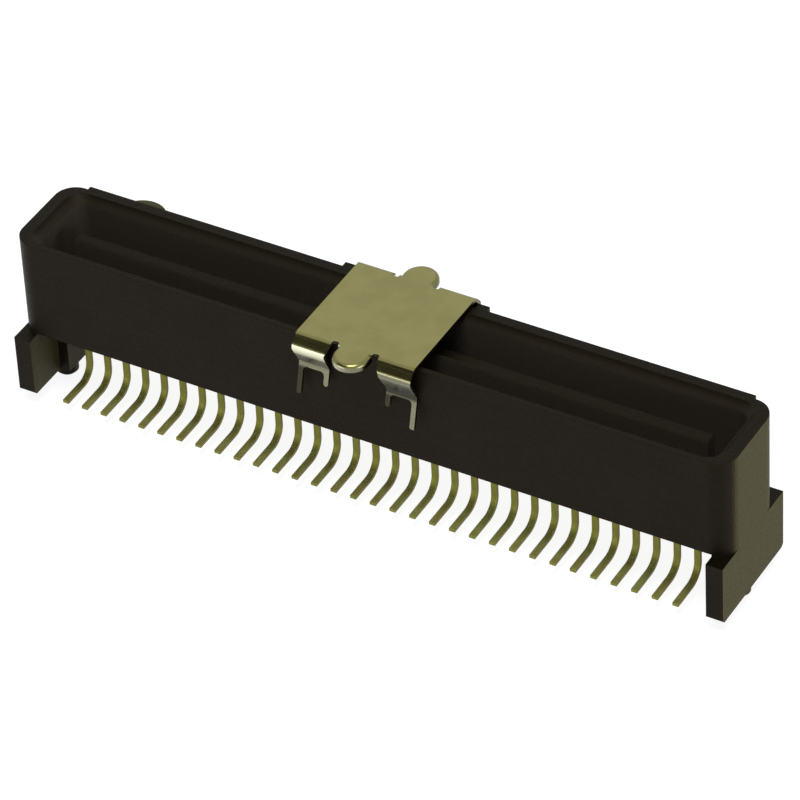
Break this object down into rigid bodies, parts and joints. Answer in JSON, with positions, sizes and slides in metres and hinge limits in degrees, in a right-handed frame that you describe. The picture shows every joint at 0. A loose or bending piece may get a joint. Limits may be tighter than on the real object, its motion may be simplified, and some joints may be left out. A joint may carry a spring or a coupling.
{
  "type": "pin header",
  "caption": "Surface-mount board-to-board pin header: a dark moulded shroud round a long tongue with formed contacts, pegged feet and a clip-on pick-up cap.",
  "frame": {"origin": "halfway between the two locating pegs, on the board's surface (the feet's bottom faces)", "axes": "+X along the rows of contacts, +Y towards the rear wall with the proud rail, +Z away from the board, out of the shroud's mouth"},
  "size_m": [0.0358, 0.0078, 0.0092],
  "materials": {
    "housing_plastic": "fine satin, glass-filled, moulded",
    "contact_metal": "satin, thin gold plating",
    "cap_metal": "satin, rolled sheet"
  },
  "bodies": {
    "header": {"housing": "housing_plastic", "contact_pair_01": "contact_metal", "contact_pair_02": "contact_metal", "contact_pair_03": "contact_metal", "contact_pair_04": "contact_metal", "contact_pair_05": "contact_metal", "contact_pair_06": "contact_metal", "contact_pair_07": "contact_metal", "contact_pair_08": "contact_metal", "contact_pair_09": "contact_metal", "contact_pair_10": "contact_metal", "contact_pair_11": "contact_metal", "contact_pair_12": "contact_metal", "contact_pair_13": "contact_metal", "contact_pair_14": "contact_metal", "contact_pair_15": "contact_metal", "contact_pair_16": "contact_metal", "contact_pair_17": "contact_metal", "contact_pair_18": "contact_metal", "contact_pair_19": "contact_metal", "contact_pair_20": "contact_metal", "contact_pair_21": "contact_metal", "contact_pair_22": "contact_metal", "contact_pair_23": "contact_metal", "contact_pair_24": "contact_metal", "contact_pair_25": "contact_metal", "contact_pair_26": "contact_metal", "contact_pair_27": "contact_metal", "contact_pair_28": "contact_metal", "contact_pair_29": "contact_metal", "contact_pair_30": "contact_metal", "contact_pair_31": "contact_metal", "contact_pair_32": "contact_metal"},
    "cap": {"pickup_cap": "cap_metal"}
  },
  "joints": [
    {"name": "cap_lift", "type": "slide", "parent": "header", "child": "cap", "axis": [0, 0, 1], "range_m": [0, 0.0031]}
  ]
}
